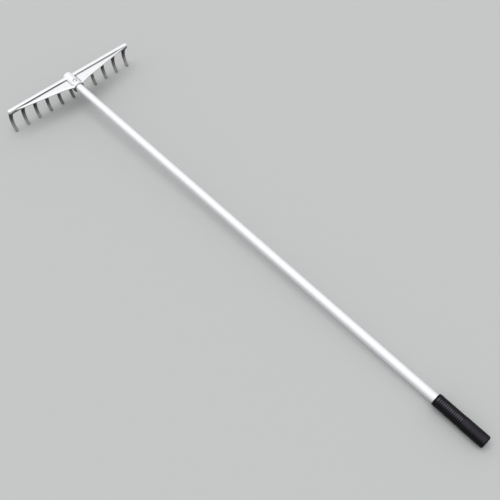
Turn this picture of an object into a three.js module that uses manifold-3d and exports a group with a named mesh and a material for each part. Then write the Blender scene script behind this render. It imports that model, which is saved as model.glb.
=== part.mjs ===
import * as THREE from "three";
import { mergeVertices } from "three/addons/utils/BufferGeometryUtils.js";
import Module from "manifold-3d";

// Golf bunker rake as it lies on level ground, on its tine tips and the butt of its grip.
// Millimetres, +Z up. The head runs along X and the handle points to -Y.
// Heights are above the ground, and reaches along Y are from the rail's centre line.

// Head casting: a raised rail with a flat web on its handle side
const headWidth = 430;
const railTopHeight = 83.5;
const railWidth = 11;
const railDepth = 14;
const railEndRadius = 5;
const castEdgeRadius = 1.5;
const webDrop = 4;
const webThickness = 5;
const webEndInset = 15;
const webShoulderReach = 55;
const webShoulderDepth = 27;

// Tines: arcs that bow away from the handle and turn their tips back towards it
const tinesPerSide = 5;
const tineEndInset = 9;
const tineRootWidth = 12.6;
const tineRootThickness = 8.6;
const tineTipWidth = 9.2;
const tineTipThickness = 6.6;
const tineTipRadius = 4.4;
const tineBow = 12.8;
const tineTipAdvance = 5;
const tineRootFillet = 2.6;

// Shaft tube
const tubeDiameter = 25;
const tubeWall = 1.5;
const shaftReach = 1530;

// Socket: a blind sleeve that is cast with the rail and takes the tube
const fitGap = 0.3;
const socketWall = 3.7;
const socketAxisDrop = 11.5;
const socketFrontReach = 45;
const socketBackReach = 16.5;
const socketEndWall = 8;
const socketBackRadius = 6.5;
const socketMouthChamfer = 1;
const socketBlockMargin = 1.5;

// Rivet through the top of the socket and the tube, in a spot-faced recess
const rivetReach = 27;
const rivetShankDiameter = 4.8;
const rivetHeadDiameter = 9.5;
const rivetHeadHeight = 2.2;
const rivetBulbDiameter = 6.8;
const rivetBulbLength = 4;
const spotFaceDiameter = 14;
const spotFaceDepth = 2.2;

// Grip: a closed rubber sleeve, ribbed over its front half
const gripLength = 146;
const gripDiameter = 34;
const gripMouthDiameter = 32;
const gripMouthRadius = 1.5;
const gripCollarLength = 9;
const gripRibCount = 14;
const gripRibPitch = 5;
const gripRibDepth = 0.9;
const gripEndWall = 5;
const gripButtRadius = 5;

// How finely round shapes are cut, and where a rib's flanks lie in its pitch
const roundSides = 48;
const gripSides = 28;
const rivetSides = 24;
const cornerSteps = 4;
const edgeSteps = 2;
const curveSteps = 6;
const tineSides = 12;
const tineSteps = 8;
const tineCornerPower = 0.55;
const ribFlankShares = [0.1, 0.3, 0.7, 0.9];

// Places that follow from the sizes above
const halfHead = headWidth / 2;
const railBottomHeight = railTopHeight - railDepth;
const webTopHeight = railTopHeight - webDrop;
const webBottomHeight = webTopHeight - webThickness;
const tubeRadius = tubeDiameter / 2;
const boreRadius = tubeRadius + fitGap;
const socketRadius = boreRadius + socketWall;
const socketBlockHalf = socketRadius + socketBlockMargin;
const axisHeight = railTopHeight - socketAxisDrop;
const centreTineRootHeight = axisHeight - socketRadius - castEdgeRadius;
const tinePitch = (halfHead - tineEndInset) / tinesPerSide;
const rootFillet = Math.min(tineRootFillet, tineEndInset - tineRootWidth / 2);
const gripRadius = gripDiameter / 2;
const gripMouthReach = shaftReach - gripLength;
const spotFaceHeight = socketRadius - spotFaceDepth;

// The tilt at which the butt's lowest edge touches the ground: reach * sin + radius * cos = height
const buttEdgeReach = shaftReach - gripButtRadius;
const shaftTilt = Math.asin(axisHeight / Math.hypot(buttEdgeReach, gripRadius))
  - Math.atan2(gripRadius, buttEdgeReach);

const castAluminium = new THREE.MeshStandardMaterial({ color: 0xd2d2d4, roughness: 0.42, metalness: 0.9 });
const tubeAluminium = new THREE.MeshStandardMaterial({ color: 0xdcdcde, roughness: 0.3, metalness: 0.95 });
const rivetSteel = new THREE.MeshStandardMaterial({ color: 0x8e8e92, roughness: 0.35, metalness: 0.95 });
const gripRubber = new THREE.MeshStandardMaterial({ color: 0x17171b, roughness: 0.7, metalness: 0 });

const wasm = await Module();
wasm.setup();

// Merges shared corners and drops faces with no area, so that the mesh closes
function toSolid(geometry) {
  const bare = geometry.clone();
  bare.deleteAttribute("normal");
  bare.deleteAttribute("uv");
  const merged = mergeVertices(bare);
  const corners = Array.from(merged.index.array);
  const triVerts = [];
  for (let i = 0; i < corners.length; i += 3) {
    const [a, b, c] = corners.slice(i, i + 3);
    if (a !== b && b !== c && c !== a) triVerts.push(a, b, c);
  }
  const vertProperties = merged.attributes.position.array;
  const mesh = new wasm.Mesh({ numProp: 3, vertProperties, triVerts: new Uint32Array(triVerts) });
  return new wasm.Manifold(mesh);
}

function toGeometry(solid) {
  const mesh = solid.getMesh();
  const geometry = new THREE.BufferGeometry();
  geometry.setAttribute("position", new THREE.BufferAttribute(mesh.vertProperties, 3));
  geometry.setIndex(new THREE.BufferAttribute(mesh.triVerts, 1));
  geometry.computeVertexNormals();
  return geometry;
}

// A block between two corners
function block(low, high) {
  const size = high.clone().sub(low);
  const geometry = new THREE.BoxGeometry(size.x, size.y, size.z);
  const middle = low.clone().add(high).divideScalar(2);
  return toSolid(geometry.translate(middle.x, middle.y, middle.z));
}

// A plan outline raised from one height by a thickness, with its edges rounded inside the outline
function plate(outline, bottom, thickness) {
  const geometry = new THREE.ExtrudeGeometry(outline, {
    depth: thickness - 2 * castEdgeRadius,
    bevelThickness: castEdgeRadius,
    bevelSize: castEdgeRadius,
    bevelOffset: -castEdgeRadius,
    bevelSegments: edgeSteps,
    curveSegments: curveSteps,
  });
  return toSolid(geometry.translate(0, 0, bottom + castEdgeRadius));
}

// A solid turned about the shaft's axis from [radius, reach] pairs, from the grip's side to the head's
function turned(profile, sides) {
  const points = profile.map(([radius, reach]) => new THREE.Vector2(radius, -reach));
  return new THREE.LatheGeometry(points, sides);
}

// Points of a quarter round on a turned profile, from one angle to another about its centre
function roundedCorner(centreRadius, centreReach, radius, fromAngle, toAngle) {
  const points = [];
  for (let i = 0; i <= cornerSteps; i += 1) {
    const angle = THREE.MathUtils.lerp(fromAngle, toAngle, i / cornerSteps);
    points.push([centreRadius + radius * Math.cos(angle), centreReach + radius * Math.sin(angle)]);
  }
  return points;
}

// Turns a shape of the shaft's own straight frame to where the shaft lies
function alongShaft(geometry) {
  return geometry.rotateX(shaftTilt).translate(0, 0, axisHeight);
}

function railOutline() {
  const halfWidth = railWidth / 2;
  const outline = new THREE.Shape();
  outline.moveTo(railEndRadius - halfHead, -halfWidth);
  outline.lineTo(halfHead - railEndRadius, -halfWidth);
  outline.quadraticCurveTo(halfHead, -halfWidth, halfHead, railEndRadius - halfWidth);
  outline.lineTo(halfHead, halfWidth - railEndRadius);
  outline.quadraticCurveTo(halfHead, halfWidth, halfHead - railEndRadius, halfWidth);
  outline.lineTo(railEndRadius - halfHead, halfWidth);
  outline.quadraticCurveTo(-halfHead, halfWidth, -halfHead, halfWidth - railEndRadius);
  outline.lineTo(-halfHead, railEndRadius - halfWidth);
  outline.quadraticCurveTo(-halfHead, -halfWidth, railEndRadius - halfHead, -halfWidth);
  return outline;
}

// The web widens straight from near the rail's ends to its shoulders, then sweeps out to the socket
function webOutline() {
  const face = -railWidth / 2;
  const endReach = halfHead - webEndInset;
  const shoulder = face - webShoulderDepth;
  const slope = webShoulderDepth / (endReach - webShoulderReach);
  const bendReach = (webShoulderReach + socketBlockHalf) / 2;
  const bend = shoulder - slope * (webShoulderReach - bendReach);
  const outline = new THREE.Shape();
  outline.moveTo(-endReach, 0);
  outline.lineTo(-endReach, face);
  outline.lineTo(-webShoulderReach, shoulder);
  outline.quadraticCurveTo(-bendReach, bend, -socketBlockHalf, -socketFrontReach);
  outline.lineTo(socketBlockHalf, -socketFrontReach);
  outline.quadraticCurveTo(bendReach, bend, webShoulderReach, shoulder);
  outline.lineTo(endReach, face);
  outline.lineTo(endReach, 0);
  outline.closePath();
  return outline;
}

// How far down a tine each of its rings lies: close together in the root's fillet and at the round tip
function tineRuns(length) {
  const quarter = Math.PI / 2;
  const runs = [-tineRootThickness];
  for (let i = 0; i <= cornerSteps; i += 1) {
    runs.push(rootFillet * (1 - Math.cos((quarter * i) / cornerSteps)));
  }
  for (let i = 1; i < tineSteps; i += 1) {
    runs.push(THREE.MathUtils.lerp(rootFillet, length - tineTipRadius, i / tineSteps));
  }
  for (let i = 0; i <= cornerSteps; i += 1) {
    runs.push(length - tineTipRadius * (1 - Math.sin((quarter * i) / cornerSteps)));
  }
  return runs;
}

// Half width and half thickness of a tine: it tapers, flares sideways into the rail and ends in a dome
function tineHalfSize(run, length) {
  const share = THREE.MathUtils.clamp(run / length, 0, 1);
  const rise = rootFillet - THREE.MathUtils.clamp(run, 0, rootFillet);
  const flare = rootFillet - Math.sqrt(rootFillet ** 2 - rise ** 2);
  const intoTip = Math.max(0, run - length + tineTipRadius) / tineTipRadius;
  const dome = Math.sqrt(Math.max(0, 1 - intoTip ** 2));
  return {
    width: dome * (THREE.MathUtils.lerp(tineRootWidth, tineTipWidth, share) / 2 + flare),
    thickness: (dome * THREE.MathUtils.lerp(tineRootThickness, tineTipThickness, share)) / 2,
  };
}

// A square of half size 1 with well rounded corners
function roundedSquare() {
  const points = [];
  for (let i = 0; i < tineSides; i += 1) {
    const angle = (2 * Math.PI * i) / tineSides;
    const [across, up] = [Math.cos(angle), Math.sin(angle)];
    points.push(new THREE.Vector2(
      Math.sign(across) * Math.abs(across) ** tineCornerPower,
      Math.sign(up) * Math.abs(up) ** tineCornerPower,
    ));
  }
  return new THREE.Shape(points);
}

// A whole tine on the head's centre plane: a straight bar that is bent to its arc, tapered and rounded.
// It runs on a little way above its root, and its lowest point is on the ground.
function tineSolid() {
  const root = new THREE.Vector2(0, railBottomHeight);
  const tip = new THREE.Vector2(-tineTipAdvance, 0);
  const chord = tip.clone().sub(root);
  const halfChord = chord.length() / 2;
  const arcRadius = (halfChord ** 2 + tineBow ** 2) / (2 * tineBow);
  const halfAngle = Math.asin(halfChord / arcRadius);
  const length = 2 * halfAngle * arcRadius;
  const down = chord.normalize();
  const back = new THREE.Vector2(-down.y, down.x);
  const middle = root.clone().add(tip).divideScalar(2);
  const centre = middle.addScaledVector(back, tineBow - arcRadius);

  const runs = tineRuns(length);
  const steps = runs.length - 1;
  const geometry = new THREE.ExtrudeGeometry(roundedSquare(), { depth: 1, steps, bevelEnabled: false });
  const places = geometry.attributes.position;
  for (let i = 0; i < places.count; i += 1) {
    const run = runs[Math.round(places.getZ(i) * steps)];
    const half = tineHalfSize(run, length);
    const angle = run / arcRadius - halfAngle;
    const radius = arcRadius - places.getY(i) * half.thickness;
    const spot = centre.clone()
      .addScaledVector(back, radius * Math.cos(angle))
      .addScaledVector(down, radius * Math.sin(angle));
    places.setXYZ(i, places.getX(i) * half.width, spot.x, spot.y);
  }
  geometry.computeBoundingBox();
  return toSolid(geometry.translate(0, 0, -geometry.boundingBox.min.z));
}

// The part of the head's own space between two places along X
function acrossHead(left, right) {
  return block(
    new THREE.Vector3(left, -2 * socketFrontReach, 0),
    new THREE.Vector3(right, 2 * socketFrontReach, 2 * railTopHeight),
  );
}

// The space around the tines from one height upwards
function above(height) {
  return block(
    new THREE.Vector3(-headWidth, -headWidth, height),
    new THREE.Vector3(headWidth, headWidth, height + railTopHeight),
  );
}

function socketBody() {
  const cornerRadius = socketRadius - socketBackRadius;
  const cornerReach = socketBackRadius - socketBackReach;
  return alongShaft(turned([
    [0, socketFrontReach],
    [socketRadius - socketMouthChamfer, socketFrontReach],
    [socketRadius, socketFrontReach - socketMouthChamfer],
    ...roundedCorner(cornerRadius, cornerReach, socketBackRadius, 0, -Math.PI / 2),
    [0, -socketBackReach],
  ], roundSides));
}

function socketBore() {
  const blindReach = socketEndWall - socketBackReach;
  return alongShaft(turned([
    [0, 2 * socketFrontReach],
    [boreRadius, 2 * socketFrontReach],
    [boreRadius, blindReach],
    [0, blindReach],
  ], roundSides));
}

// A shape turned about the rivet's own axis from [radius, height over the shaft's axis] pairs
function aboutRivet(profile) {
  const points = profile.map(([radius, height]) => new THREE.Vector2(radius, height));
  return new THREE.LatheGeometry(points, rivetSides).rotateX(Math.PI / 2).translate(0, -rivetReach, 0);
}

// The hole for the rivet's shank and the flat recess that its head sits in
function rivetHole() {
  const holeRadius = rivetShankDiameter / 2 + fitGap;
  return aboutRivet([
    [0, 0],
    [holeRadius, 0],
    [holeRadius, spotFaceHeight],
    [spotFaceDiameter / 2, spotFaceHeight],
    [spotFaceDiameter / 2, 2 * socketRadius],
    [0, 2 * socketRadius],
  ]);
}

function rivet() {
  const shankRadius = rivetShankDiameter / 2;
  const headRadius = rivetHeadDiameter / 2;
  const bulbRadius = rivetBulbDiameter / 2;
  const bulbTop = Math.sqrt((tubeRadius - tubeWall) ** 2 - bulbRadius ** 2) - fitGap;
  const headSeat = spotFaceHeight + fitGap;
  const dome = [];
  for (let i = 0; i <= cornerSteps; i += 1) {
    const angle = (Math.PI / 2) * (i / cornerSteps);
    dome.push([headRadius * Math.cos(angle), headSeat + rivetHeadHeight * Math.sin(angle)]);
  }
  dome[cornerSteps][0] = 0;
  return aboutRivet([
    [0, bulbTop - rivetBulbLength],
    [bulbRadius, bulbTop - rivetBulbLength],
    [bulbRadius, bulbTop],
    [shankRadius, bulbTop],
    [shankRadius, headSeat],
    ...dome,
  ]);
}

function tube() {
  const frontReach = socketEndWall - socketBackReach + fitGap;
  const endReach = shaftReach - gripEndWall - fitGap;
  const innerRadius = tubeRadius - tubeWall;
  const pipe = turned([
    [innerRadius, endReach],
    [tubeRadius, endReach],
    [tubeRadius, frontReach],
    [innerRadius, frontReach],
    [innerRadius, endReach],
  ], roundSides);
  return toGeometry(toSolid(pipe).subtract(toSolid(rivetHole())));
}

// From the butt along the outside to the mouth, and back along the bore
function grip() {
  const mouthRadius = gripMouthDiameter / 2;
  const collarReach = gripMouthReach + gripCollarLength;
  const ribs = [];
  for (let i = gripRibCount - 1; i >= 0; i -= 1) {
    const start = collarReach + i * gripRibPitch;
    const flanks = ribFlankShares.map((share) => start + share * gripRibPitch);
    const [crestStart, valleyStart, valleyEnd, crestEnd] = flanks;
    ribs.push(
      [gripRadius, crestEnd],
      [gripRadius - gripRibDepth, valleyEnd],
      [gripRadius - gripRibDepth, valleyStart],
      [gripRadius, crestStart],
    );
  }
  const lipRadius = mouthRadius - gripMouthRadius;
  const lipReach = gripMouthReach + gripMouthRadius;
  return turned([
    [0, shaftReach],
    ...roundedCorner(gripRadius - gripButtRadius, buttEdgeReach, gripButtRadius, Math.PI / 2, 0),
    ...ribs,
    ...roundedCorner(lipRadius, lipReach, gripMouthRadius, 0, -Math.PI / 2),
    [boreRadius, gripMouthReach],
    [boreRadius, shaftReach - gripEndWall],
    [0, shaftReach - gripEndWall],
  ], gripSides);
}

const rake = new THREE.Group();

function addPiece(parent, name, geometry, material) {
  const mesh = new THREE.Mesh(geometry, material);
  mesh.name = name;
  parent.add(mesh);
  return mesh;
}

// The casting is one bar of rail and web, cut beside the socket so that each region is its own solid
const bar = plate(railOutline(), railBottomHeight - castEdgeRadius, railDepth + castEdgeRadius)
  .intersect(above(railBottomHeight))
  .add(plate(webOutline(), webBottomHeight, webThickness));
const wholeTine = tineSolid();
const rivetCut = toSolid(alongShaft(rivetHole()));
const socket = toSolid(socketBody())
  .add(bar.intersect(acrossHead(-socketBlockHalf, socketBlockHalf)))
  .add(wholeTine.intersect(above(centreTineRootHeight)))
  .subtract(toSolid(socketBore()))
  .subtract(rivetCut);
const leftWing = bar.intersect(acrossHead(-headWidth, -socketBlockHalf));
const rightWing = bar.intersect(acrossHead(socketBlockHalf, headWidth));

addPiece(rake, "head_socket", toGeometry(socket), castAluminium);
addPiece(rake, "head_wing_left", toGeometry(leftWing), castAluminium);
addPiece(rake, "head_wing_right", toGeometry(rightWing), castAluminium);

const sideTine = toGeometry(wholeTine.subtract(above(railBottomHeight)));
const middleTine = toGeometry(wholeTine.subtract(above(centreTineRootHeight)));
for (let i = -tinesPerSide; i <= tinesPerSide; i += 1) {
  const name = `tine_${String(i + tinesPerSide + 1).padStart(2, "0")}`;
  const tine = addPiece(rake, name, i === 0 ? middleTine : sideTine, castAluminium);
  tine.position.x = i * tinePitch;
}

// The tube, its rivet and the grip share the shaft's tilted frame
const shaft = new THREE.Group();
shaft.position.z = axisHeight;
shaft.rotation.x = shaftTilt;
rake.add(shaft);
addPiece(shaft, "shaft_tube", tube(), tubeAluminium);
addPiece(shaft, "socket_rivet", rivet(), rivetSteel);
addPiece(shaft, "grip", grip(), gripRubber);

// The origin is the middle of the rake's footprint, on the ground
const extent = new THREE.Box3().setFromObject(rake, true);
const middle = extent.getCenter(new THREE.Vector3());
rake.position.set(-middle.x, -middle.y, -extent.min.z);

export default rake;
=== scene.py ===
"""Dresses the golf bunker rake for its pictures.

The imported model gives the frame: metres, +X along the head, +Y from the grip towards the head and
+Z up, with the origin on the ground under the middle of the rake. Sizes are written in millimetres
times MM. A reach is a distance along the handle from the rail's centre line towards the grip.
"""

import logging
import math
from collections.abc import Iterable, Sequence
from dataclasses import dataclass
from enum import Enum
from functools import reduce
from typing import Any, ClassVar

import bmesh
import bpy
import numpy as np
from bmesh.types import BMEdge, BMesh, BMFace, BMVert
from bpy.types import ID, Material, Node, NodeOutputs, NodeSocket, Object
from mathutils import Matrix, Vector

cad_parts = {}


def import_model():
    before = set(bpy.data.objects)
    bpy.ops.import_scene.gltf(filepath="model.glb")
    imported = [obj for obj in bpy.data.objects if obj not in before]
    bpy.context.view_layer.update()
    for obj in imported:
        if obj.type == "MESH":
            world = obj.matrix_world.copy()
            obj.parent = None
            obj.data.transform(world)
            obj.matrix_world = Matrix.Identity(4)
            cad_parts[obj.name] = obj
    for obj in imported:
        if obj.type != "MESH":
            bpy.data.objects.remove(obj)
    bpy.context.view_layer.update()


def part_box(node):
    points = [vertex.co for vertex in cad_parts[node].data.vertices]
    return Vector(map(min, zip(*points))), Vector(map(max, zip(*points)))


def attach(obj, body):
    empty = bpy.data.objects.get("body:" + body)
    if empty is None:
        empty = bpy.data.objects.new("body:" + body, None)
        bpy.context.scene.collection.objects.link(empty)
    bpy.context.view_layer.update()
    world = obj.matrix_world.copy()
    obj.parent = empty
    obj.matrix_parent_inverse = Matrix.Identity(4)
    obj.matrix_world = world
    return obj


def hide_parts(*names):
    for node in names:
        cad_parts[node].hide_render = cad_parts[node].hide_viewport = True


LOG = logging.getLogger("bunker_rake")
MM = 0.001
ROOT_BODY = "root"

# A noise keeps to this part of 0 to 1, apart from its rare peaks
NOISE_SPAN = (0.3, 0.7)

# Points of a turned shape that lie closer than this become one
MERGE_GAP = 0.001 * MM

Profile = Sequence[tuple[float, float]]
Colour = tuple[float, float, float, float]
Place = tuple[float, float, float]
Span = tuple[float, float]


class Slot(Enum):
    """The material slots."""

    CASTING = "cast_aluminium"
    TUBE = "tube_aluminium"
    RIVET = "rivet_steel"
    GRIP = "grip_rubber"


# Shaping


def new_verts(bm: BMesh, before: set[BMVert]) -> list[BMVert]:
    """The vertices that a form has gained since it had only those given."""
    return [vert for vert in bm.verts if vert not in before]


def faces_of(verts: Iterable[BMVert]) -> list[BMFace]:
    """Every face that uses one of these vertices, once."""
    return list({face: None for vert in verts for face in vert.link_faces})


def edges_of(verts: Iterable[BMVert]) -> list[BMEdge]:
    """Every edge that uses one of these vertices, once."""
    return list({edge: None for vert in verts for edge in vert.link_edges})


def rise(edge: BMEdge) -> float:
    """How much higher one end of an edge lies than the other."""
    return abs(edge.verts[0].co.z - edge.verts[1].co.z)


def add_turned(
    bm: BMesh, profile: Profile, sides: int, place: Matrix, closed: bool = False
) -> None:
    """Adds a shape turned about the Y axis of its own space.

    Args:
        bm: The form that takes it.
        profile: Pairs of radius and reach, where reach counts along -Y.
        sides: How many steps the turn takes.
        place: Where the shape's own space lies.
        closed: Whether the profile joins its own start, as a pipe's does.
    """
    before = set(bm.verts)
    verts = [bm.verts.new((radius, -reach, 0.0)) for radius, reach in profile]
    pairs = list(zip(verts, verts[1:]))
    if closed:
        pairs.append((verts[-1], verts[0]))
    edges = [bm.edges.new(pair) for pair in pairs]
    bmesh.ops.spin(
        bm, geom=verts + edges, cent=(0.0, 0.0, 0.0), axis=(0.0, 1.0, 0.0),
        angle=math.tau, steps=sides, use_merge=True,
    )
    bmesh.ops.remove_doubles(bm, verts=new_verts(bm, before), dist=MERGE_GAP)
    shape = new_verts(bm, before)
    bmesh.ops.recalc_face_normals(bm, faces=faces_of(shape))
    bmesh.ops.transform(bm, matrix=place, verts=shape)


def quarter_round(
    centre: tuple[float, float], radius: float, start: float, end: float, steps: int
) -> list[tuple[float, float]]:
    """Points of a rounded corner on a turned profile.

    Args:
        centre: The corner's centre, as radius and reach.
        radius: The corner's radius.
        start: The angle of the first point, in degrees.
        end: The angle of the last point, in degrees.
        steps: How many steps lie between them.

    Returns:
        The points, both ends included.
    """
    points = []
    for step in range(steps + 1):
        angle = math.radians(start + (end - start) * step / steps)
        points.append((centre[0] + radius * math.cos(angle), centre[1] + radius * math.sin(angle)))
    return points


def round_off(
    bm: BMesh, parts: Iterable[BMEdge | BMVert], radius: float, segments: int, flat: bool = False
) -> None:
    """Rounds edges, or the corners of a flat outline.

    Args:
        bm: The form.
        parts: The edges or the corners.
        radius: How round they become.
        segments: How many steps each is rounded in.
        flat: Whether they are the corners of a flat outline.
    """
    bmesh.ops.bevel(
        bm, geom=list(parts), offset=radius, offset_type="OFFSET", segments=segments,
        profile=0.5, affect="VERTICES" if flat else "EDGES", material=-1, clamp_overlap=not flat,
    )


def linked(name: str, data: ID) -> Object:
    """Puts a new object into the scene.

    Args:
        name: The object's name.
        data: The mesh, camera or light that it holds.

    Returns:
        The object.
    """
    made = bpy.data.objects.new(name, data)
    bpy.context.scene.collection.objects.link(made)
    return made


def as_object(bm: BMesh, name: str) -> Object:
    """Turns a finished form into a scene object at the origin.

    Args:
        bm: The form, which is used up.
        name: The object's name.

    Returns:
        The new object.
    """
    mesh = bpy.data.meshes.new(name)
    bm.to_mesh(mesh)
    bm.free()
    return linked(name, mesh)


def apply_modifiers(piece: Object) -> None:
    """Makes an object's modifiers part of its mesh.

    Args:
        piece: The object.
    """
    graph = bpy.context.evaluated_depsgraph_get()
    settled = bpy.data.meshes.new_from_object(piece.evaluated_get(graph), depsgraph=graph)
    piece.modifiers.clear()
    old = piece.data
    piece.data = settled
    bpy.data.meshes.remove(old)
    settled.name = piece.name


def shade(piece: Object, crease: float) -> None:
    """Shades an object smoothly, apart from edges sharper than a crease, which is in degrees."""
    piece.data.shade_smooth()
    piece.data.set_sharp_from_angle(angle=math.radians(crease))


def mark_hollows(piece: Object, name: str, spread: int) -> None:
    """Gives each point of a mesh how deep it lies in a hollow corner, or 0 on a flat or an edge.

    Args:
        piece: The object.
        name: The attribute's name.
        spread: How many rounds of averaging with its neighbours each point gets.
    """
    mesh = piece.data
    count = len(mesh.vertices)
    places = np.empty(count * 3)
    mesh.vertices.foreach_get("co", places)
    places = places.reshape(-1, 3)
    normals = np.empty(count * 3)
    mesh.vertex_normals.foreach_get("vector", normals)
    normals = normals.reshape(-1, 3)
    ends = np.empty(len(mesh.edges) * 2, dtype=np.int32)
    mesh.edges.foreach_get("vertices", ends)
    first, second = ends.reshape(-1, 2).T

    def averaged(values: np.ndarray) -> np.ndarray:
        """The mean of each point's neighbours.

        Args:
            values: A value or a vector for each point.

        Returns:
            The means, in the same order.
        """
        total = np.zeros_like(values)
        np.add.at(total, first, values[second])
        np.add.at(total, second, values[first])
        joined = np.bincount(np.concatenate((first, second)), minlength=count).clip(1)
        return total / (joined[:, None] if values.ndim == 2 else joined)

    length = np.linalg.norm(places[first] - places[second], axis=1).mean()
    hollow = ((averaged(places) - places) * normals).sum(axis=1) / length
    for _ in range(spread):
        hollow = (hollow + averaged(hollow)) / 2.0
    attribute = mesh.attributes.new(name, "FLOAT", "POINT")
    attribute.data.foreach_set("value", hollow.clip(0.0, 1.0).astype(np.float32))


def publish(piece: Object, finish: Material, nodes: Iterable[str]) -> None:
    """Hands a finished piece over to the frame.

    Args:
        piece: The object.
        finish: Its material.
        nodes: The CAD nodes that it stands for.
    """
    piece.data.materials.clear()
    piece.data.materials.append(finish)
    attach(piece, ROOT_BODY)
    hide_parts(*nodes)
    LOG.info("%s: %d faces", piece.name, len(piece.data.polygons))


# Finishes


class ShaderBench:
    """Wires up the nodes of one material."""

    def __init__(self, name: str) -> None:
        """Starts an empty material.

        Args:
            name: The material's name.
        """
        self.material = bpy.data.materials.new(name)
        self.material.use_nodes = True
        self.tree = self.material.node_tree
        self.tree.nodes.clear()

    def node(self, kind: str, inputs: dict[str | int, Any] | None = None, **settings: Any) -> Node:
        """Adds a node.

        Args:
            kind: The node's type, without its ShaderNode prefix.
            inputs: Values or other nodes' sockets, by input name or number.
            settings: The node's own properties.

        Returns:
            The node.
        """
        made = self.tree.nodes.new("ShaderNode" + kind)
        for key, value in settings.items():
            setattr(made, key, value)
        for key, value in (inputs or {}).items():
            if isinstance(value, NodeSocket):
                self.tree.links.new(value, made.inputs[key])
            else:
                made.inputs[key].default_value = value
        return made

    def place(self, turn: float = 0.0, origin: Place = (0.0, 0.0, 0.0)) -> NodeSocket:
        """Object coordinates, moved to an origin and then turned about X.

        Args:
            turn: The turn, in radians.
            origin: The point that becomes zero.

        Returns:
            The coordinates' socket.
        """
        coordinates = self.node("TexCoord").outputs["Object"]
        moved = self.node("VectorMath", {0: coordinates, 1: origin}, operation="SUBTRACT")
        inputs = {"Vector": moved.outputs["Vector"], "Rotation": (turn, 0.0, 0.0)}
        return self.node("Mapping", inputs).outputs["Vector"]

    def parts(self, vector: NodeSocket) -> NodeOutputs:
        """A vector's X, Y and Z, by name."""
        return self.node("SeparateXYZ", {"Vector": vector}).outputs

    def from_axis(self, along: str, parts: NodeOutputs) -> NodeSocket:
        """The vector from an axis (X, Y or Z) straight out to a place given by its parts."""
        across = {name: parts[name] for name in "XYZ" if name != along}
        return self.node("CombineXYZ", across).outputs["Vector"]

    def length(self, vector: NodeSocket) -> NodeSocket:
        """How long a vector is."""
        return self.node("VectorMath", {0: vector}, operation="LENGTH").outputs["Value"]

    def stretched(self, vector: NodeSocket, scale: Place) -> NodeSocket:
        """Coordinates with another scale along each axis."""
        made = self.node("VectorMath", {0: vector, 1: scale}, operation="MULTIPLY")
        return made.outputs["Vector"]

    def noise(
        self, vector: NodeSocket, size: float, detail: float = 2.0, roughness: float = 0.5
    ) -> NodeSocket:
        """A noise whose blotches have a real size.

        Args:
            vector: The coordinates, in metres.
            size: How far apart the blotches are, in metres.
            detail: How many finer layers it has.
            roughness: How strong those are.

        Returns:
            The noise's factor, about 0.3 to 0.7.
        """
        inputs = {"Vector": vector, "Scale": 1.0 / size, "Detail": detail, "Roughness": roughness}
        return self.node("TexNoise", inputs).outputs["Fac"]

    def ranged(
        self, value: NodeSocket, low: float, high: float,
        to_low: float = 0.0, to_high: float = 1.0,
    ) -> NodeSocket:
        """A value carried smoothly from one range to another, and held at its ends.

        Args:
            value: The value.
            low: Where the first range starts.
            high: Where it ends.
            to_low: The result at low.
            to_high: The result at high.

        Returns:
            The result's socket.
        """
        inputs = {
            "Value": value, "From Min": low, "From Max": high, "To Min": to_low, "To Max": to_high,
        }
        return self.node("MapRange", inputs, interpolation_type="SMOOTHSTEP").outputs["Result"]

    def math(
        self, operation: str, first: NodeSocket, second: NodeSocket | float = 0.0
    ) -> NodeSocket:
        """Two values put together, or one value changed, by the Math node's operation."""
        return self.node("Math", {0: first, 1: second}, operation=operation).outputs["Value"]

    def product(self, *factors: NodeSocket) -> NodeSocket:
        """Values multiplied, from left to right."""
        return reduce(lambda share, factor: self.math("MULTIPLY", share, factor), factors)

    def blend(self, share: NodeSocket, first: Any, second: Any) -> NodeSocket:
        """Two colours or their sockets mixed, where the share is how much of the second shows."""
        made = self.node("Mix", {0: share, 6: first, 7: second}, data_type="RGBA")
        return made.outputs[2]

    def bumped(
        self, height: NodeSocket, depth: float, strength: float,
        under: NodeSocket | None = None,
    ) -> NodeSocket:
        """A relief on the surface.

        Args:
            height: The relief's height, 0 to 1.
            depth: How deep a height of 1 is, in metres.
            strength: How strongly it shows.
            under: A relief that it lies on.

        Returns:
            The normal's socket.
        """
        inputs: dict[str | int, Any] = {"Height": height, "Distance": depth, "Strength": strength}
        if under is not None:
            inputs["Normal"] = under
        return self.node("Bump", inputs).outputs["Normal"]

    def finish(self, **surface: Any) -> Material:
        """Ends the material with one Principled shader.

        Args:
            surface: The shader's inputs, with _ for each space in a name.

        Returns:
            The material.
        """
        inputs = {key.replace("_", " "): value for key, value in surface.items()}
        shader = self.node("BsdfPrincipled", inputs)
        self.node("OutputMaterial", {"Surface": shader.outputs["BSDF"]})
        return self.material


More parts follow.
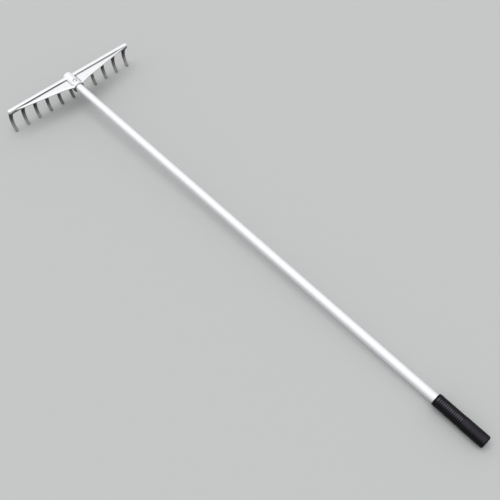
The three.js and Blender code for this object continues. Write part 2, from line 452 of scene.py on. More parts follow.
@dataclass(frozen=True)
class CastAluminium:
    """Sand-cast aluminium: bright above, and dark underneath and down the tines, a duller cast skin
    with painted shade on it.

    Painted shade darkens the hollow corners that the attribute marks, the step between the rail and
    the web, and the socket's mouth. A span says where a share starts and where it is full, and
    noises move its edge to and fro by the drifts.
    """

    turn: float
    mouth_point: Place
    step_point: Place
    step_reach: float
    step_height: float

    bright: Colour = (0.88, 0.88, 0.885, 1.0)
    # The skin is partly a duller cast skin and partly painted shade, for the underside and the
    # tines
    skin: Colour = (0.07, 0.065, 0.062, 1.0)
    painted_light: Colour = (0.33, 0.315, 0.3, 1.0)
    # Painted shade on the middle tines, under the socket
    socket_shade: Colour = (0.03, 0.028, 0.027, 1.0)
    # Painted shade for the hollow corners, the step and the socket's mouth
    painted_shade: Colour = (0.034, 0.026, 0.031, 1.0)
    metallic: float = 0.92

    # Sizes of the noises, and how deep they lie in the surface
    cloud: float = 34.0 * MM
    ripple: float = 6.0 * MM
    ripple_depth: float = 0.3 * MM
    grain: float = 0.9 * MM
    grain_depth: float = 0.1 * MM

    # Heights over the ground: bright from above, bright from behind, and painted light towards the
    # tips
    bright_heights: Span = (68.0 * MM, 76.0 * MM)
    bright_drift: float = 2.5 * MM
    faded_heights: Span = (26.0 * MM, 78.0 * MM)
    lit_heights: Span = (54.0 * MM, 12.0 * MM)
    lit_drift: float = 9.0 * MM

    # How far a face looks up, and how far it looks to the back; faces that look down take the dark
    # skin as painted shade
    clear_of_underside: Span = (-0.9, -0.25)
    towards_back: Span = (-0.1, 0.7)

    # Reaches along the head, from its middle or from the step's end
    end_creep: float = 5.5 * MM
    creep_run: float = 38.0 * MM
    socket_shade_reaches: Span = (20.0 * MM, 125.0 * MM)
    socket_shade_share: float = 0.55
    hub_reaches: Span = (16.0 * MM, 34.0 * MM)
    hub_share: float = 0.55
    half_reaches: Span = (-20.0 * MM, 20.0 * MM)
    half_shares: Span = (0.95, 0.72)
    step_end_run: float = 22.0 * MM
    taper_insets: Span = (65.0 * MM, 5.0 * MM)
    taper: float = 1.2 * MM

    # The step's painted shade: out of the rail, up from the web, out over the web, and below the
    # rail's top
    in_rail: Span = (0.9 * MM, 0.2 * MM)
    on_web: Span = (-0.7 * MM, 0.1 * MM)
    before_rail: Span = (-2.0 * MM, -1.1 * MM)
    below_top: Span = (0.5 * MM, 1.5 * MM)

    # The mouth's painted shade, by depth behind its plane and by height over its centre
    mouth_depths: Span = (0.5 * MM, 0.1 * MM)
    mouth_heights: Span = (5.0 * MM, 14.5 * MM)
    mouth_shares: Span = (0.88, 0.35)

    # Painted shade in the hollow corners, by how deep the attribute says they lie
    hollow: str = "hollow"
    hollow_depths: Span = (0.011, 0.039)
    hollow_share: float = 0.76

    speck_noise: Span = (0.58, 0.75)
    speck_share: float = 0.12
    roughness: Span = (0.34, 0.42)
    skin_roughness: float = 0.16

    def step_shade(self, bench: ShaderBench) -> NodeSocket:
        """How much painted shade lies along the step between the rail and the web.

        Args:
            bench: The material's bench.

        Returns:
            The share's socket.
        """
        step = bench.parts(bench.place(0.0, self.step_point))
        outward = bench.math("ABSOLUTE", step["X"])
        taper_start, taper_end = (self.step_reach - inset for inset in self.taper_insets)
        tapered = bench.ranged(outward, taper_start, taper_end, 0.0, -self.taper)
        top_start, top_end = (self.step_height - depth for depth in self.below_top)
        return bench.product(
            bench.ranged(step["Y"], *self.in_rail),
            bench.ranged(step["Z"], *self.on_web),
            bench.ranged(bench.math("ADD", step["Y"], tapered), *self.before_rail),
            bench.ranged(step["Z"], top_start, top_end),
            bench.ranged(outward, self.step_reach, self.step_reach - self.step_end_run),
            bench.ranged(outward, *self.hub_reaches, self.hub_share, 1.0),
            bench.ranged(step["X"], *self.half_reaches, *self.half_shares),
        )

    def painted_shade_share(self, bench: ShaderBench) -> NodeSocket:
        """How much painted shade lies on each spot: in the hollow corners, along the step and on
        the mouth.

        Args:
            bench: The material's bench.

        Returns:
            The share's socket.
        """
        along = bench.parts(bench.place(self.turn, self.mouth_point))
        # Painted shade on the socket's mouth, darker on its flanks than on its top
        mouth = bench.product(
            bench.ranged(along["Y"], *self.mouth_depths),
            bench.ranged(along["Z"], *self.mouth_heights, *self.mouth_shares),
        )
        hollow = bench.node("Attribute", attribute_name=self.hollow).outputs["Fac"]
        corner = bench.ranged(hollow, *self.hollow_depths, 0.0, self.hollow_share)
        return bench.math("MAXIMUM", self.step_shade(bench), bench.math("MAXIMUM", mouth, corner))

    def build(self) -> Material:
        """Makes the material.

        Returns:
            The material.
        """
        bench = ShaderBench("cast_aluminium_sand_cast")
        place = bench.place()
        parts = bench.parts(place)
        facing = bench.parts(bench.node("TexCoord").outputs["Normal"])
        outward = bench.math("ABSOLUTE", parts["X"])
        clouds = bench.noise(place, self.cloud, detail=4.0, roughness=0.6)
        drifts = bench.noise(place, self.cloud, detail=1.0, roughness=0.4)
        ripples = bench.noise(place, self.ripple, detail=3.0)
        grains = bench.noise(place, self.grain, detail=2.0, roughness=0.7)

        drift = bench.ranged(drifts, *NOISE_SPAN, -self.bright_drift, self.bright_drift)
        drifted = bench.math("ADD", parts["Z"], drift)
        creep_start = self.step_reach - self.creep_run
        creep = bench.ranged(outward, creep_start, self.step_reach, 0.0, self.end_creep)
        # Painted shade: below the bright heights, and on faces that look down, the dark skin shows
        above = bench.ranged(bench.math("SUBTRACT", drifted, creep), *self.bright_heights)
        behind = bench.product(
            bench.ranged(drifted, *self.faded_heights),
            bench.ranged(facing["Y"], *self.towards_back),
        )
        clear = bench.ranged(facing["Z"], *self.clear_of_underside)
        upper = bench.product(bench.math("MAXIMUM", above, behind), clear)

        sway = bench.ranged(clouds, *NOISE_SPAN, -self.lit_drift, self.lit_drift)
        swayed = bench.math("ADD", parts["Z"], sway)
        # Painted light: the tines lighten towards their tips, where they face up out of the head's
        # shade
        tines = bench.blend(bench.ranged(swayed, *self.lit_heights), self.skin, self.painted_light)
        # Painted shade: the tines darken towards the middle, in the shade under the socket
        socket_shaded = bench.ranged(outward, *self.socket_shade_reaches, self.socket_shade_share, 0.0)
        tines = bench.blend(socket_shaded, tines, self.socket_shade)
        tone = bench.blend(upper, tines, self.bright)
        specks = bench.ranged(ripples, *self.speck_noise, 0.0, self.speck_share)
        colour = bench.blend(self.painted_shade_share(bench), bench.blend(specks, tone, self.skin), self.painted_shade)

        rough = bench.math(
            "ADD",
            bench.ranged(clouds, *NOISE_SPAN, *self.roughness),
            bench.ranged(upper, 0.0, 1.0, self.skin_roughness, 0.0),
        )
        waves = bench.bumped(ripples, self.ripple_depth, strength=0.25)
        relief = bench.bumped(grains, self.grain_depth, strength=0.45, under=waves)
        return bench.finish(
            Base_Color=colour, Metallic=self.metallic, Roughness=rough, Normal=relief
        )


@dataclass(frozen=True)
class DrawnTube:
    """Satin drawn aluminium: fine lines along the tube, a few handling marks and faint smudges."""

    turn: float
    base: Colour = (0.9, 0.9, 0.91, 1.0)
    line: Colour = (0.84, 0.84, 0.86, 1.0)
    smudge: Colour = (0.74, 0.74, 0.74, 1.0)
    metallic: float = 0.93
    line_width: float = 0.3 * MM
    line_length: float = 260.0 * MM
    line_noise: Span = (0.35, 0.65)
    line_depth: float = 0.02 * MM
    line_roughness: float = 0.06
    smudge_size: float = 55.0 * MM
    smudge_noise: Span = (0.5, 0.75)
    smudge_share: float = 0.35
    rough_noise: Span = (0.35, 0.7)
    roughness: Span = (0.27, 0.38)
    scratch_width: float = 0.35 * MM
    scratch_length: float = 18.0 * MM
    scratch_spacing: float = 4.0
    scratch_noise: Span = (0.72, 0.8)
    scratch_depth: float = 0.05 * MM
    scratch_roughness: float = 0.15

    def build(self) -> Material:
        """Makes the material.

        Returns:
            The material.
        """
        bench = ShaderBench("tube_aluminium_satin_drawn")
        place = bench.place(self.turn)
        drawn = bench.stretched(place, (1.0, self.line_width / self.line_length, 1.0))
        lines = bench.noise(drawn, self.line_width, detail=3.0, roughness=0.6)
        smudges = bench.noise(place, self.smudge_size, detail=4.0, roughness=0.6)
        marks = bench.stretched(place, (1.0, self.scratch_width / self.scratch_length, 1.0))
        spots = bench.noise(marks, self.scratch_width * self.scratch_spacing, detail=1.0)
        scratches = bench.ranged(spots, *self.scratch_noise)

        tone = bench.blend(bench.ranged(lines, *self.line_noise), self.line, self.base)
        smudged = bench.ranged(smudges, *self.smudge_noise, 0.0, self.smudge_share)
        rough = bench.math(
            "ADD",
            bench.ranged(smudges, *self.rough_noise, *self.roughness),
            bench.ranged(lines, *NOISE_SPAN, 0.0, self.line_roughness),
        )
        rougher = bench.math(
            "ADD", rough, bench.math("MULTIPLY", scratches, self.scratch_roughness)
        )
        drawn_relief = bench.bumped(lines, self.line_depth, strength=0.35)
        relief = bench.bumped(scratches, -self.scratch_depth, strength=0.4, under=drawn_relief)
        return bench.finish(
            Base_Color=bench.blend(smudged, tone, self.smudge),
            Metallic=self.metallic, Roughness=rougher, Normal=relief,
        )


@dataclass(frozen=True)
class MouldedRubber:
    """Matt black rubber with a fine moulded grain, with a painted sheen and painted glints along
    one side.

    The ribs' crests carry the lightest painted glints, along a strip on the side of the sheen. A
    facing is the cosine of how far round the grip a spot lies from the middle of that side.
    """

    turn: float
    axis_point: Place
    ribs_start: float
    ribs_end: float
    black: Colour = (0.0025, 0.0025, 0.003, 1.0)
    # The painted sheen's colour
    painted_sheen: Colour = (0.031, 0.027, 0.037, 1.0)
    # The painted glints' colour
    painted_light: Colour = (0.14, 0.13, 0.155, 1.0)
    specular: float = 0.1
    rib_radii: Span = (16.1 * MM, 17.0 * MM)
    valley_share: float = 0.3
    # The painted sheen's side, turned a little from the top
    sheen_turn: float = math.radians(-14.0)
    sheen_facings: Span = (0.78, 0.985)
    glint_facings: Span = (0.94, 0.995)
    rear_run: float = 3.0 * MM
    collar_runs: Span = (2.0 * MM, -1.0 * MM)
    collar_share: float = 0.3
    patch: float = 22.0 * MM
    patch_share: float = 0.6
    grain: float = 0.45 * MM
    grain_depth: float = 0.05 * MM
    roughness: Span = (0.33, 0.45)

    def build(self) -> Material:
        """Makes the material.

        Returns:
            The material.
        """
        bench = ShaderBench("grip_rubber_moulded")
        place = bench.place(self.turn, self.axis_point)
        parts = bench.parts(place)
        flat = bench.from_axis("Y", parts)
        grains = bench.noise(place, self.grain, detail=2.0, roughness=0.6)
        patches = bench.noise(place, self.patch, detail=4.0, roughness=0.6)

        outward = bench.node("VectorMath", {0: flat}, operation="NORMALIZE").outputs["Vector"]
        sheen_side = (math.sin(self.sheen_turn), 0.0, math.cos(self.sheen_turn))
        facing = bench.node("VectorMath", {0: outward, 1: sheen_side}, operation="DOT_PRODUCT")
        facing = facing.outputs["Value"]
        crests = bench.ranged(bench.length(flat), *self.rib_radii)
        rear_start = -self.ribs_end
        on_ribs = bench.ranged(parts["Y"], rear_start, rear_start + self.rear_run)
        collar_start, collar_end = (run - self.ribs_start for run in self.collar_runs)
        behind_collar = bench.ranged(parts["Y"], collar_start, collar_end, self.collar_share, 1.0)
        blotched = bench.ranged(patches, *NOISE_SPAN, self.patch_share, 1.0)
        # Painted sheen: lighter on one side, less in the ribs' valleys
        painted_sheen = bench.product(
            bench.ranged(facing, *self.sheen_facings),
            blotched,
            bench.ranged(crests, 0.0, 1.0, self.valley_share, 1.0),
        )
        # Painted glints on the ribs' crests, along a strip on the sheen's side
        glints = bench.product(
            bench.ranged(facing, *self.glint_facings), blotched, crests, on_ribs, behind_collar
        )
        tone = bench.blend(painted_sheen, self.black, self.painted_sheen)
        return bench.finish(
            Base_Color=bench.blend(glints, tone, self.painted_light),
            Metallic=0.0,
            Roughness=bench.ranged(patches, *NOISE_SPAN, *self.roughness),
            Normal=bench.bumped(grains, self.grain_depth, strength=0.5),
            Specular_IOR_Level=self.specular,
        )


@dataclass(frozen=True)
class RivetSteel:
    """Plain steel with turned rings and a little dulling."""

    axis_point: Place
    turn: float
    base: Colour = (0.74, 0.74, 0.75, 1.0)
    dull: Colour = (0.55, 0.54, 0.53, 1.0)
    ring: float = 0.35 * MM
    ring_depth: float = 0.01 * MM
    patch: float = 3.0 * MM
    dull_noise: Span = (0.4, 0.7)
    roughness: Span = (0.26, 0.42)

    def build(self) -> Material:
        """Makes the material.

        Returns:
            The material.
        """
        bench = ShaderBench("rivet_steel_turned")
        place = bench.place(self.turn, self.axis_point)
        radius = bench.length(bench.from_axis("Z", bench.parts(place)))
        rings = bench.math("SINE", bench.math("MULTIPLY", radius, math.tau / self.ring))
        patches = bench.noise(place, self.patch, detail=3.0)
        return bench.finish(
            Base_Color=bench.blend(bench.ranged(patches, *self.dull_noise), self.base, self.dull),
            Metallic=1.0,
            Roughness=bench.ranged(patches, *NOISE_SPAN, *self.roughness),
            Normal=bench.bumped(rings, self.ring_depth, strength=0.3),
        )


# The rake's pieces


@dataclass(frozen=True)
class HandleLine:
    """The straight line that the socket, the tube, the rivet and the grip share.

    In its own space it runs along Y with the head's end at +Y, and the rail's centre is at zero.
    """

    rail_centre: float
    axis_height: float = 72.0 * MM
    butt_edge_reach: float = 1525.0 * MM
    butt_radius: float = 17.0 * MM

    def tilt(self) -> float:
        """The slope at which the butt's lowest edge touches the ground.

        Returns:
            The slope, in radians.
        """
        far = math.hypot(self.butt_edge_reach, self.butt_radius)
        return math.asin(self.axis_height / far) - math.atan2(
            self.butt_radius, self.butt_edge_reach
        )

    def matrix(self) -> Matrix:
        """Where the line's own space lies in the frame."""
        centre = Matrix.Translation((0.0, self.rail_centre, self.axis_height))
        return centre @ Matrix.Rotation(self.tilt(), 4, "X")

    def upright(self, reach: float) -> Matrix:
        """Where a turned shape's own space lies that stands on the line with its end at -Y up."""
        place = self.matrix() @ Matrix.Translation((0.0, -reach, 0.0))
        return place @ Matrix.Rotation(math.radians(-90.0), 4, "X")

    def point(self, reach: float, height: float = 0.0) -> Vector:
        """A point in the frame, at a reach along the line and a height over it."""
        return self.matrix() @ Vector((0.0, -reach, height))


@dataclass
class HeadCasting:
    """The rail, web, socket and tines, which are one casting."""

    line: HandleLine
    half_width: float = 215.0 * MM
    rail_top: float = 83.5 * MM
    rail_width: float = 11.0 * MM
    rail_depth: float = 14.0 * MM
    rail_end_radius: float = 5.0 * MM
    rail_edge_radius: float = 0.9 * MM
    web_drop: float = 4.0 * MM
    step_inset: float = 4.0 * MM
    web_thickness: float = 5.0 * MM
    web_tip: Span = (209.0 * MM, 3.8 * MM)
    web_bend: Span = (36.5 * MM, 35.9 * MM)
    web_bend_radius: float = 18.5 * MM
    web_edge_radius: float = 1.2 * MM
    socket_radius: float = 16.5 * MM
    socket_front: float = 45.0 * MM
    socket_back: float = 16.5 * MM
    socket_back_radius: float = 6.5 * MM
    socket_chamfer: float = 0.9 * MM
    chamfer_spare: float = 0.5 * MM
    socket_spare: float = 3.0 * MM
    socket_sides: int = 96
    web_behind_mouth: float = 1.7 * MM
    bore_radius: float = 12.8 * MM
    bore_end: float = 8.5 * MM
    rivet_reach: float = 27.0 * MM
    recess_radius: float = 6.6 * MM
    recess_fillet: float = 1.6 * MM
    recess_floor: float = 14.3 * MM
    recess_flare: float = 12.0 * MM
    recess_sides: int = 64
    tine_pitch: float = 41.2 * MM
    tines_per_side: int = 5
    tine_root: Span = (12.6 * MM, 10.6 * MM)
    tine_tip: Span = (9.2 * MM, 7.0 * MM)
    tine_corner: float = 0.8
    tine_set_back: float = 1.0 * MM
    tine_root_fillet: float = 2.6 * MM
    tine_tip_radius: float = 4.4 * MM
    tine_bow: float = 12.8 * MM
    tine_advance: float = 5.0 * MM
    tine_overrun: float = 5.0 * MM
    tine_inside: float = 0.7
    tine_point: float = 0.01
    tine_lift: float = 0.3 * MM
    flare_steps: int = 5
    tine_steps: int = 26
    dome_steps: int = 6
    fillet: float = 0.7 * MM
    voxel: float = 0.9 * MM
    polish_factor: float = 0.5
    polish_rounds: int = 4
    hollow_rounds: int = 3
    crease: float = 42.0

    def rail(self, bm: BMesh) -> None:
        """Adds the rail: a bar with round ends and rounded edges.

        Args:
            bm: The form that takes it.
        """
        before = set(bm.verts)
        centre = Vector((0.0, self.line.rail_centre, self.rail_top - self.rail_depth / 2.0))
        size = Matrix.Diagonal((2.0 * self.half_width, self.rail_width, self.rail_depth, 1.0))
        bmesh.ops.create_cube(bm, size=1.0, matrix=Matrix.Translation(centre) @ size)
        corners = [edge for edge in edges_of(new_verts(bm, before)) if rise(edge) > MM]
        round_off(bm, corners, self.rail_end_radius, segments=8)
        rim = [edge for edge in edges_of(new_verts(bm, before)) if rise(edge) < MM]
        round_off(bm, rim, self.rail_edge_radius, segments=4)

    def web(self, bm: BMesh, side: int) -> None:
        """Adds one half of the web: a wedge whose front edge sweeps out to the socket.

        Args:
            bm: The form that takes it.
            side: 1 for the half at +X, -1 for the other.
        """
        before = set(bm.verts)
        centre = self.line.rail_centre
        level = self.rail_top - self.web_drop - self.web_thickness
        corners = [
            (0.0, centre),
            (self.web_tip[0], centre),
            (self.web_tip[0], centre - self.web_tip[1]),
            (self.web_bend[0], centre - self.web_bend[1]),
            (self.socket_radius, centre - self.socket_front + self.web_behind_mouth),
            (0.0, centre - self.socket_front + self.web_behind_mouth),
        ]
        verts = [bm.verts.new((side * x, y, level)) for x, y in corners]
        bm.faces.new(verts)
        round_off(bm, [verts[3]], self.web_bend_radius, segments=8, flat=True)
        lifted = bmesh.ops.extrude_face_region(bm, geom=faces_of(new_verts(bm, before)))["geom"]
        bmesh.ops.translate(
            bm, vec=(0.0, 0.0, self.web_thickness),
            verts=[item for item in lifted if isinstance(item, BMVert)],
        )
        shape = new_verts(bm, before)
        bmesh.ops.recalc_face_normals(bm, faces=faces_of(shape))
        front = centre - self.rail_width / 2.0 - MM
        rim = [
            edge for edge in edges_of(shape)
            if rise(edge) < self.web_edge_radius
            and any(vert.co.y < front for vert in edge.verts)
            and any(abs(vert.co.x) > MM for vert in edge.verts)
            and len({abs(face.normal.z) > 0.5 for face in edge.link_faces}) == 2
        ]
        round_off(bm, rim, self.web_edge_radius, segments=3)

    def socket(self, bm: BMesh) -> None:
        """Adds the socket's solid body, a little too long, because its mouth is cut later.

        Args:
            bm: The form that takes it.
        """
        radius = self.socket_back_radius
        back = (self.socket_radius - radius, radius - self.socket_back)
        front = self.socket_front + self.socket_spare
        add_turned(bm, [
            (0.0, front),
            (self.socket_radius, front),
            *quarter_round(back, radius, 0.0, -90.0, steps=10),
            (0.0, -self.socket_back),
        ], self.socket_sides, self.line.matrix())

    def tine(self, bm: BMesh, x: float) -> None:
        """Adds a tine: a soft square extruded ring by ring round its arc, with a round tip.

        Args:
            bm: The form that takes it.
            x: Where it stands along the head.
        """
        root = Vector((self.line.rail_centre, self.rail_top - self.rail_depth))
        tip = Vector((self.line.rail_centre - self.tine_advance, self.tine_lift))
        chord = tip - root
        half_chord = chord.length / 2.0
        radius = (half_chord**2 + self.tine_bow**2) / (2.0 * self.tine_bow)
        half_angle = math.asin(half_chord / radius)
        length = 2.0 * half_angle * radius
        down = chord.normalized()
        back = Vector((-down.y, down.x))
        centre = (root + tip) / 2.0 + back * (self.tine_bow - radius)

        def ring(run: float) -> Matrix:
            """Where the unit section lies.

            Args:
                run: How far down the tine, in metres.

            Returns:
                The place, turn and size of the section there.
            """
            share = run / length
            to_go = max(0.0, self.tine_root_fillet - run)
            flare = self.tine_root_fillet - math.sqrt(self.tine_root_fillet**2 - to_go**2)
            into_tip = max(0.0, run - length + self.tine_tip_radius) / self.tine_tip_radius
            dome = math.sqrt(max(0.0, 1.0 - into_tip**2)) or self.tine_point
            half_width, half_thickness = (
                dome * (at_root * (1.0 - share) + at_tip * share) / 2.0
                for at_root, at_tip in zip(self.tine_root, self.tine_tip)
            )
            width = half_width + flare
            angle = run / radius - half_angle
            outward = back * math.cos(angle) + down * math.sin(angle)
            onward = down * math.cos(angle) - back * math.sin(angle)
            spot = centre + outward * (radius + self.tine_set_back * (1.0 - share))
            turn = Matrix((
                (1.0, 0.0, 0.0, x),
                (0.0, outward.x, onward.x, spot.x),
                (0.0, outward.y, onward.y, spot.y),
                (0.0, 0.0, 0.0, 1.0),
            ))
            return turn @ Matrix.Diagonal((width, half_thickness, width, 1.0))

        before = set(bm.verts)
        bmesh.ops.create_grid(bm, x_segments=1, y_segments=1, size=1.0)
        round_off(bm, new_verts(bm, before), self.tine_corner, segments=5, flat=True)
        section = new_verts(bm, before)
        face = faces_of(section)[0]
        into_rail = Matrix.Translation((0.0, -self.tine_set_back, self.tine_overrun))
        previous = into_rail @ ring(0.0) @ Matrix.Diagonal((1.0, self.tine_inside, 1.0, 1.0))
        bmesh.ops.transform(bm, matrix=previous, verts=section)
        flare_step = 90.0 / self.flare_steps
        flared = [
            self.tine_root_fillet * (1.0 - math.cos(math.radians(flare_step * step)))
            for step in range(self.flare_steps)
        ]
        dome_start = length - self.tine_tip_radius
        straight = [length * step / self.tine_steps for step in range(1, self.tine_steps)]
        straight = [run for run in straight if self.tine_root_fillet <= run < dome_start]
        dome_step = 90.0 / self.dome_steps
        domed = [
            length - self.tine_tip_radius * (1.0 - math.sin(math.radians(dome_step * step)))
            for step in range(self.dome_steps + 1)
        ]
        for run in flared + straight + domed:
            grown = bmesh.ops.extrude_face_region(
                bm, geom=[face], use_keep_orig=run == flared[0]
            )["geom"]
            face = next(item for item in grown if isinstance(item, BMFace))
            following = ring(run)
            verts = [item for item in grown if isinstance(item, BMVert)]
            bmesh.ops.transform(bm, matrix=following @ previous.inverted(), verts=verts)
            previous = following
        bmesh.ops.recalc_face_normals(bm, faces=faces_of(new_verts(bm, before)))

    def cutter(self) -> Object:
        """The mouth with its chamfer, the bore and the rivet's recess, as one object to cut with.

        Returns:
            The object.
        """
        bm = bmesh.new()
        blind = self.bore_end - self.socket_back
        far = 2.0 * self.socket_front
        run = self.socket_chamfer + self.chamfer_spare
        outside = self.socket_radius - self.socket_chamfer + run
        add_turned(bm, [
            (0.0, far),
            (outside + self.socket_spare, far),
            (outside + self.socket_spare, self.socket_front - run),
            (outside, self.socket_front - run),
            (self.socket_radius - self.socket_chamfer, self.socket_front),
            (self.bore_radius, self.socket_front),
            (self.bore_radius, blind),
            (0.0, blind),
        ], self.socket_sides, self.line.matrix())
        high = 2.0 * self.socket_radius
        dish = (self.recess_radius - self.recess_fillet, self.recess_floor + self.recess_fillet)
        add_turned(bm, [
            (0.0, self.recess_floor),
            *quarter_round(dish, self.recess_fillet, -90.0, -30.0, steps=5),
            (self.recess_radius + self.recess_flare, high),
            (0.0, high),
        ], self.recess_sides, self.line.upright(self.rivet_reach))
        return as_object(bm, "socket_cutter")

    def fuse(self, piece: Object, cutter: Object) -> None:
        """Melts the overlapping forms into one skin with fillets, and cuts the bore and the recess.

        Args:
            piece: The object that holds the forms.
            cutter: What is cut away.
        """
        for step in (0.0, self.fillet, -self.fillet):
            if step:
                swell = piece.modifiers.new("swell", "DISPLACE")
                swell.direction = "NORMAL"
                swell.mid_level = 0.0
                swell.strength = step
            skin = piece.modifiers.new("skin", "REMESH")
            skin.mode = "VOXEL"
            skin.voxel_size = self.voxel
            polish = piece.modifiers.new("polish", "SMOOTH")
            polish.factor = self.polish_factor
            polish.iterations = self.polish_rounds
        cut = piece.modifiers.new("cut", "BOOLEAN")
        cut.operation = "DIFFERENCE"
        cut.solver = "EXACT"
        cut.object = cutter
        apply_modifiers(piece)

    def build(self, finish: Material) -> None:
        """Makes the casting.

        Args:
            finish: Its material.
        """
        bm = bmesh.new()
        self.rail(bm)
        for side in (-1, 1):
            self.web(bm, side)
        self.socket(bm)
        for place in range(-self.tines_per_side, self.tines_per_side + 1):
            self.tine(bm, place * self.tine_pitch)
        piece = as_object(bm, "head_casting")
        cutter = self.cutter()
        self.fuse(piece, cutter)
        bpy.data.objects.remove(cutter)
        mark_hollows(piece, CastAluminium.hollow, self.hollow_rounds)
        shade(piece, self.crease)
        regions = ["head_socket", "head_wing_left", "head_wing_right"]
        tines = [f"tine_{number:02d}" for number in range(1, 2 * self.tines_per_side + 2)]
        publish(piece, finish, regions + tines)


@dataclass
class TurnedPiece:
    """A piece on the handle's line that is turned about one axis."""

    line: HandleLine
    name: ClassVar[str]
    node: ClassVar[str]
    slot: ClassVar[Slot]
    sides: ClassVar[int]
    crease: ClassVar[float]
    hollow: ClassVar[bool] = False

    def profile(self) -> Profile:
        """What is turned, as pairs of radius and reach."""
        raise NotImplementedError

    def place(self) -> Matrix:
        """Where the piece's own space lies in the frame."""
        return self.line.matrix()

    def build(self, finish: Material) -> None:
        """Makes the piece.

        Args:
            finish: Its material.
        """
        bm = bmesh.new()
        add_turned(bm, self.profile(), self.sides, self.place(), self.hollow)
        piece = as_object(bm, self.name)
        shade(piece, self.crease)
        publish(piece, finish, [self.node])


@dataclass
class HandleTube(TurnedPiece):
    """The long straight tube between the socket and the grip."""

    name = "handle_tube"
    node = "shaft_tube"
    slot = Slot.TUBE
    sides = 128
    crease = 30.0
    hollow = True

    radius: float = 12.5 * MM
    wall: float = 1.5 * MM
    head_end: float = -8.0 * MM
    grip_end: float = 1524.5 * MM
    edge: float = 0.4 * MM

    def profile(self) -> Profile:
        """The tube's wall, once round.

        Returns:
            Pairs of radius and reach.
        """
        inner = self.radius - self.wall
        return [
            (inner, self.grip_end),
            (self.radius - self.edge, self.grip_end),
            (self.radius, self.grip_end - self.edge),
            (self.radius, self.head_end + self.edge),
            (self.radius - self.edge, self.head_end),
            (inner, self.head_end),
        ]


@dataclass
class SocketRivet(TurnedPiece):
    """The blind rivet through the socket's top, with the dimple that its snapped stem leaves."""

    name = "rivet_domed"
    node = "socket_rivet"
    slot = Slot.RIVET
    sides = 64
    crease = 35.0

    reach: float = 27.0 * MM
    seat: float = 14.4 * MM
    head_radius: float = 4.75 * MM
    head_height: float = 2.2 * MM
    head_rim: float = 0.25 * MM
    head_edge: float = 0.3 * MM
    dome_steps: int = 10
    shank_radius: float = 2.4 * MM
    bulb_radius: float = 3.4 * MM
    bulb_edge: float = 0.8 * MM
    bulb_bottom: float = 6.2 * MM
    bulb_top: float = 10.1 * MM
    dimple_radius: float = 1.3 * MM
    dimple_depth: float = 0.9 * MM
    dimple_lip: float = 0.1 * MM
    dimple_taper: float = 0.2 * MM

    def place(self) -> Matrix:
        """Where the rivet's own space lies: its axis stands on the handle's line, head up."""
        return self.line.upright(self.reach)

    def profile(self) -> Profile:
        """The rivet's half section, from the far bulb's end to the middle of the dimple.

        Returns:
            Pairs of radius and height over the handle's line.
        """
        crown = self.seat + self.head_height
        points = [
            (0.0, self.bulb_bottom),
            (self.bulb_radius - self.bulb_edge, self.bulb_bottom),
            (self.bulb_radius, self.bulb_bottom + self.bulb_edge),
            (self.bulb_radius, self.bulb_top - self.bulb_edge),
            (self.shank_radius, self.bulb_top),
            (self.shank_radius, self.seat),
            (self.head_radius - self.head_edge, self.seat),
            (self.head_radius, self.seat + self.head_rim),
        ]
        for step in range(1, self.dome_steps):
            angle = math.radians(90.0 * step / self.dome_steps)
            radius = self.head_radius * math.cos(angle)
            if radius > self.dimple_radius:
                dome = (self.head_height - self.head_rim) * math.sin(angle)
                points.append((radius, self.seat + self.head_rim + dome))
        points += [
            (self.dimple_radius, crown - self.dimple_lip),
            (self.dimple_radius - self.dimple_taper, crown - self.dimple_depth),
            (0.0, crown - self.dimple_depth),
        ]
        return points


@dataclass
class RibbedGrip(TurnedPiece):
    """The closed rubber sleeve: a collar, rounded ribs, a smooth rear half and a rounded butt."""

    name = "grip_sleeve"
    node = "grip"
    slot = Slot.GRIP
    sides = 112
    crease = 50.0

    bore: float = 12.8 * MM
    mouth_reach: float = 1384.0 * MM
    mouth_radius: float = 16.0 * MM
    lip: float = 1.5 * MM
    radius: float = 17.0 * MM
    collar: float = 9.0 * MM
    collar_land: float = 2.0 * MM
    ribs: int = 14
    pitch: float = 5.0 * MM
    rib_depth: float = 0.9 * MM
    rib_power: float = 1.4
    rib_steps: int = 10
    end: float = 1530.0 * MM
    end_wall: float = 5.0 * MM
    butt_radius: float = 5.0 * MM

    def ribs_start(self) -> float:
        """The reach of the first rib's near side."""
        return self.mouth_reach + self.collar

    def ribs_end(self) -> float:
        """The reach of the last rib's far side."""
        return self.mouth_reach + self.collar + self.ribs * self.pitch

    def profile(self) -> Profile:
        """The grip's half section, from the closed end's inside out to its outside.

        Returns:
            Pairs of radius and reach.
        """
        inner = self.end - self.end_wall
        lip = (self.mouth_radius - self.lip, self.mouth_reach + self.lip)
        points = [(0.0, inner), (self.bore, inner), (self.bore, self.mouth_reach)]
        points += quarter_round(lip, self.lip, -90.0, 0.0, steps=6)
        start = self.ribs_start()
        points.append((self.radius, start - self.collar_land))
        for rib in range(self.ribs):
            for step in range(self.rib_steps):
                share = step / self.rib_steps
                depth = self.rib_depth * math.sin(math.pi * share) ** self.rib_power
                points.append((self.radius - depth, start + (rib + share) * self.pitch))
        points.append((self.radius, self.ribs_end()))
        butt = (self.radius - self.butt_radius, self.end - self.butt_radius)
        points += quarter_round(butt, self.butt_radius, 0.0, 90.0, steps=12)
        points.append((0.0, self.end))
        return points


# Camera, floor and light


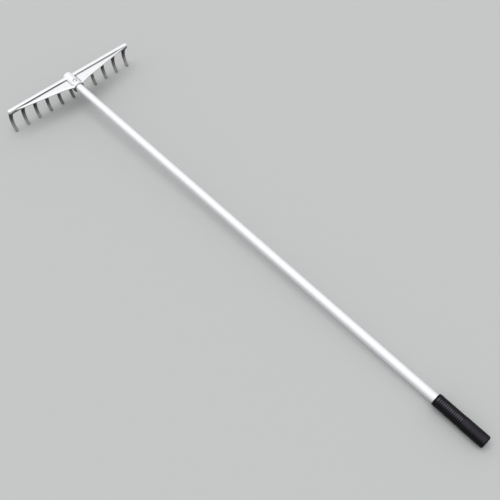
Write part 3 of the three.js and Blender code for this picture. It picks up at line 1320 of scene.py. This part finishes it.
@dataclass(frozen=True)
class PhotoCamera:
    """The camera at the photograph's viewpoint."""

    rail_centre: float
    from_rail: Place = (-888.5 * MM, -1624.6 * MM, 1718.7 * MM)
    azimuth: float = -46.05
    elevation: float = 54.54
    roll: float = 2.29
    lens_mm: float = 57.6
    sensor_mm: float = 36.0

    def build(self) -> None:
        """Makes the scene's camera."""
        data = bpy.data.cameras.new("photo_camera")
        data.lens = self.lens_mm
        data.sensor_width = self.sensor_mm
        data.sensor_fit = "HORIZONTAL"
        camera = linked("photo_camera", data)
        spot = Vector(self.from_rail) + Vector((0.0, self.rail_centre, 0.0))
        camera.matrix_world = (
            Matrix.Translation(spot)
            @ Matrix.Rotation(math.radians(self.azimuth), 4, "Z")
            @ Matrix.Rotation(math.radians(90.0 - self.elevation), 4, "X")
            @ Matrix.Rotation(math.radians(self.roll), 4, "Z")
        )
        bpy.context.scene.camera = camera


@dataclass
class Studio:
    """A plain pale floor under a soft sky and one large soft lamp."""

    floor_colour: Colour = (0.58, 0.59, 0.58, 1.0)
    floor_roughness: float = 0.9
    floor_radius: float = 14.0
    floor_sides: int = 192
    floor_gap: float = 0.3 * MM
    sky_colour: Colour = (0.97, 0.98, 1.0, 1.0)
    sky_strength: float = 0.74
    shown_strength: float = 1.0
    lamp_strength: float = 0.75
    lamp_angle: float = 42.0
    lamp_turn: Place = (-12.0, -7.0, 0.0)

    def floor(self) -> None:
        """Makes the floor, which lies just under the ground's level."""
        bm = bmesh.new()
        bmesh.ops.create_circle(
            bm, cap_ends=True, segments=self.floor_sides, radius=self.floor_radius
        )
        bmesh.ops.translate(bm, vec=(0.0, 0.0, -self.floor_gap), verts=bm.verts)
        floor = as_object(bm, "studio_floor")
        pale = ShaderBench("studio_floor_pale").finish(
            Base_Color=self.floor_colour, Roughness=self.floor_roughness
        )
        floor.data.materials.append(pale)

    def sky(self) -> None:
        """Lights the scene from all round, and shows white in the picture and in metal."""
        world = bpy.data.worlds.new("studio_sky")
        world.use_nodes = True
        nodes, links = world.node_tree.nodes, world.node_tree.links
        shader = nodes["Background"]
        shader.inputs["Color"].default_value = self.sky_colour
        path = nodes.new("ShaderNodeLightPath")
        total: NodeSocket = path.outputs["Is Camera Ray"]
        for ray in ("Is Glossy Ray", "Is Transmission Ray"):
            either = nodes.new("ShaderNodeMath")
            either.operation = "MAXIMUM"
            links.new(total, either.inputs[0])
            links.new(path.outputs[ray], either.inputs[1])
            total = either.outputs["Value"]
        strength = nodes.new("ShaderNodeMapRange")
        strength.inputs["To Min"].default_value = self.sky_strength
        strength.inputs["To Max"].default_value = self.shown_strength
        links.new(total, strength.inputs["Value"])
        links.new(strength.outputs["Result"], shader.inputs["Strength"])
        bpy.context.scene.world = world

    def lamp(self) -> None:
        """Makes the one large soft lamp."""
        data = bpy.data.lights.new("studio_lamp", "SUN")
        data.energy = self.lamp_strength
        data.angle = math.radians(self.lamp_angle)
        lamp = linked("studio_lamp", data)
        lamp.rotation_euler = [math.radians(turn) for turn in self.lamp_turn]

    def build(self) -> None:
        """Makes the floor, the sky and the lamp."""
        self.floor()
        self.sky()
        self.lamp()
        LOG.info("studio: floor, sky and lamp")


def main() -> None:
    """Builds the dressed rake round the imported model."""
    logging.basicConfig(level=logging.INFO, format="%(name)s: %(message)s")
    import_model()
    line = HandleLine(rail_centre=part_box("head_wing_left")[1][1] - HeadCasting.rail_width / 2.0)

    PhotoCamera(line.rail_centre).build()
    Studio().build()

    head = HeadCasting(line)
    casting = CastAluminium(
        turn=-line.tilt(),
        mouth_point=tuple(line.point(head.socket_front)),
        step_point=(0.0, line.rail_centre - head.rail_width / 2.0, head.rail_top - head.web_drop),
        step_reach=head.web_tip[0] - head.step_inset,
        step_height=head.web_drop,
    )
    head.build(casting.build())
    HandleTube(line).build(DrawnTube(turn=-line.tilt()).build())
    rivet = SocketRivet(line)
    rivet_foot = tuple(line.point(rivet.reach, rivet.seat))
    rivet.build(RivetSteel(axis_point=rivet_foot, turn=-line.tilt()).build())
    grip = RibbedGrip(line)
    rubber = MouldedRubber(
        turn=-line.tilt(),
        axis_point=tuple(line.point(0.0)),
        ribs_start=grip.ribs_start(),
        ribs_end=grip.ribs_end(),
    )
    grip.build(rubber.build())

    bpy.context.scene.view_settings.view_transform = "Standard"


if __name__ == "__main__":
    main()
